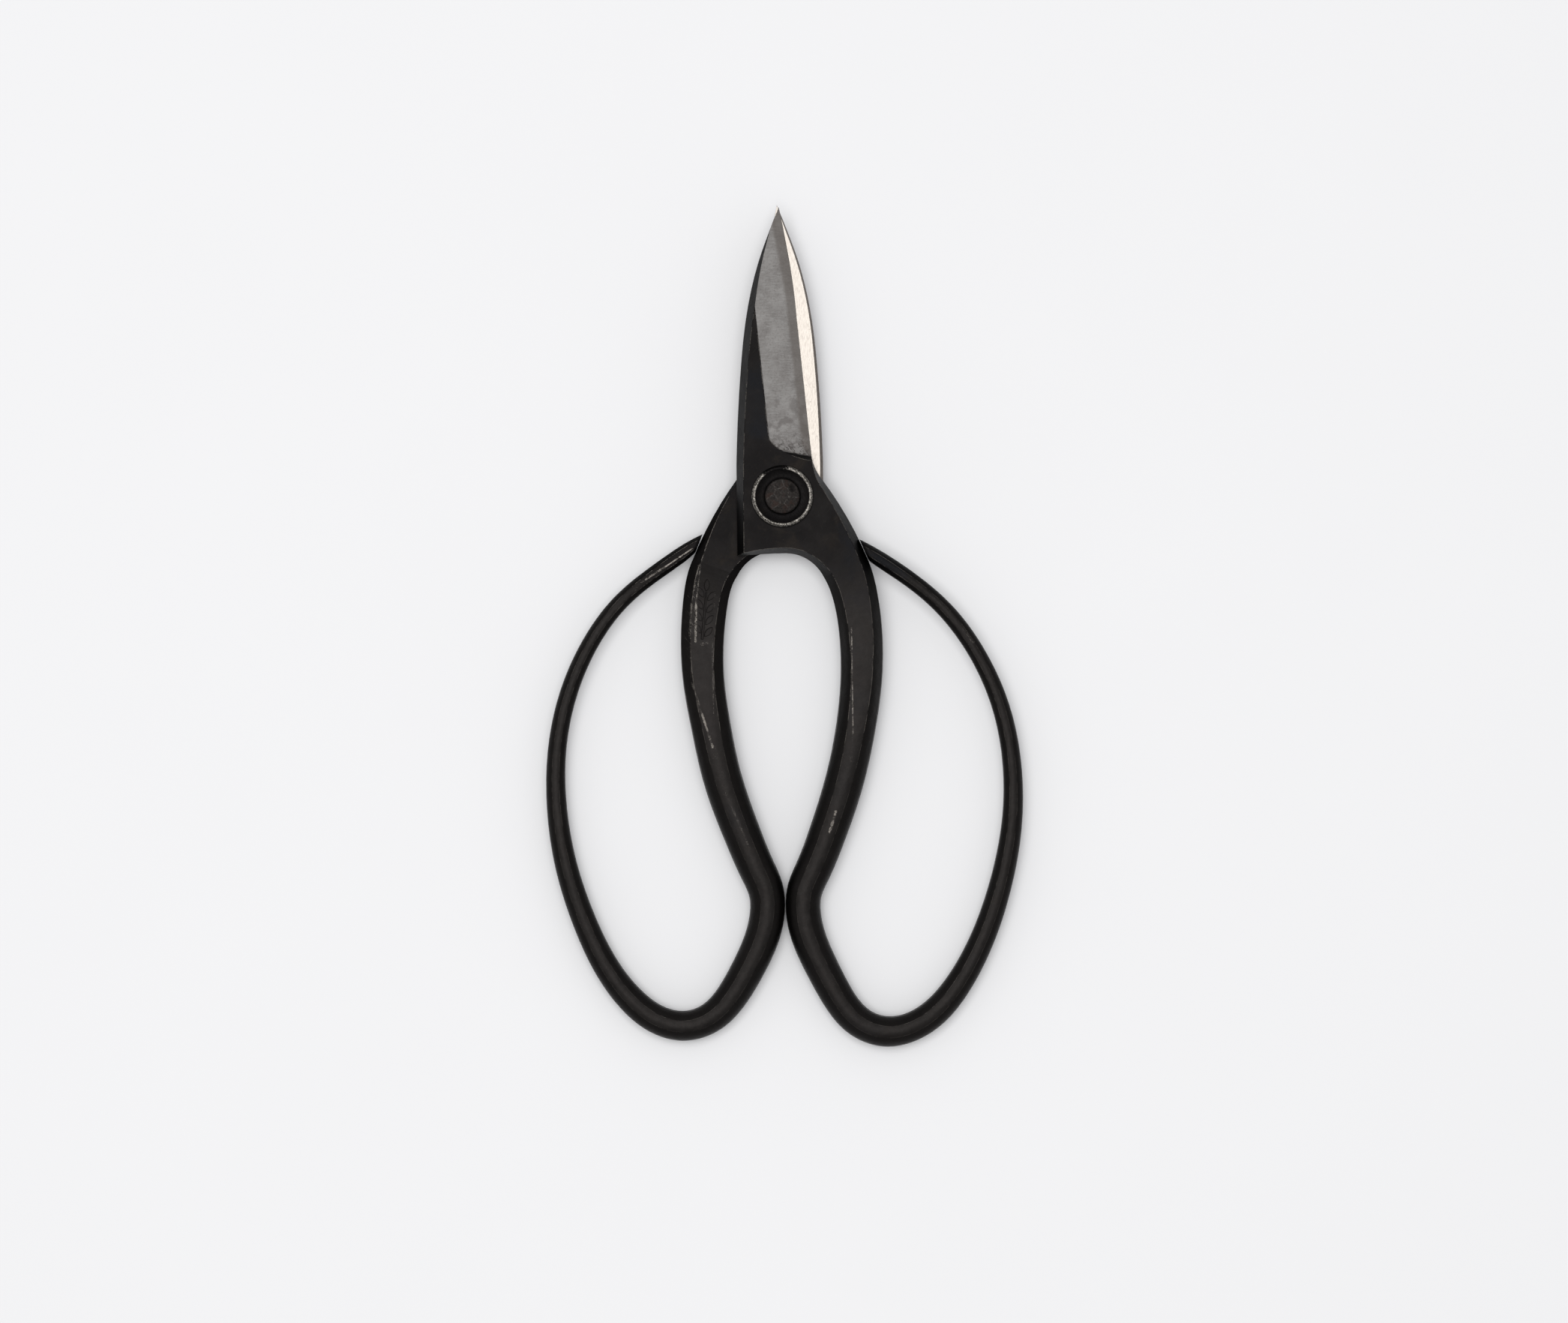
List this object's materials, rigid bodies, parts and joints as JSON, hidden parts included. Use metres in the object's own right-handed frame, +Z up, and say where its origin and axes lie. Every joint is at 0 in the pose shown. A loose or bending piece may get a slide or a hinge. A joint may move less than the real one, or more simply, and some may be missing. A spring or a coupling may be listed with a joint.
{
  "type": "floral snips",
  "caption": "Forged hand snips with short straight blades on one rivet and two large round-wire finger bows that meet at the waist.",
  "frame": {"origin": "on the rivet's axis, at the flat end of the rear rivet head, which is the snips' lowest point when they lie flat", "axes": "+Z up along the rivet; +Y from the pivot to the blades' tips; +X to the right seen from the front, towards the front half's finger bow"},
  "size_m": [0.1019, 0.1801, 0.0122],
  "materials": {
    "forged_black": "black forge scale, satin, with bright worn edges; the blade's bevel ground grey",
    "cutting_steel": "ground bright",
    "rivet_steel": "hammered and darkened",
    "washer_steel": "darkened, with a bright worn rim"
  },
  "bodies": {
    "rear": {"rear_half": "forged_black", "rear_cutting_steel": "cutting_steel", "rivet": "rivet_steel", "front_washer": "washer_steel", "rear_washer": "washer_steel"},
    "front": {"front_half": "forged_black", "front_cutting_steel": "cutting_steel"}
  },
  "joints": [
    {"name": "blade_pivot", "type": "hinge", "parent": "rear", "child": "front", "pos_m": [0, 0, 0.0061], "axis": [0, 0, 1], "range_deg": [0, 50]}
  ]
}
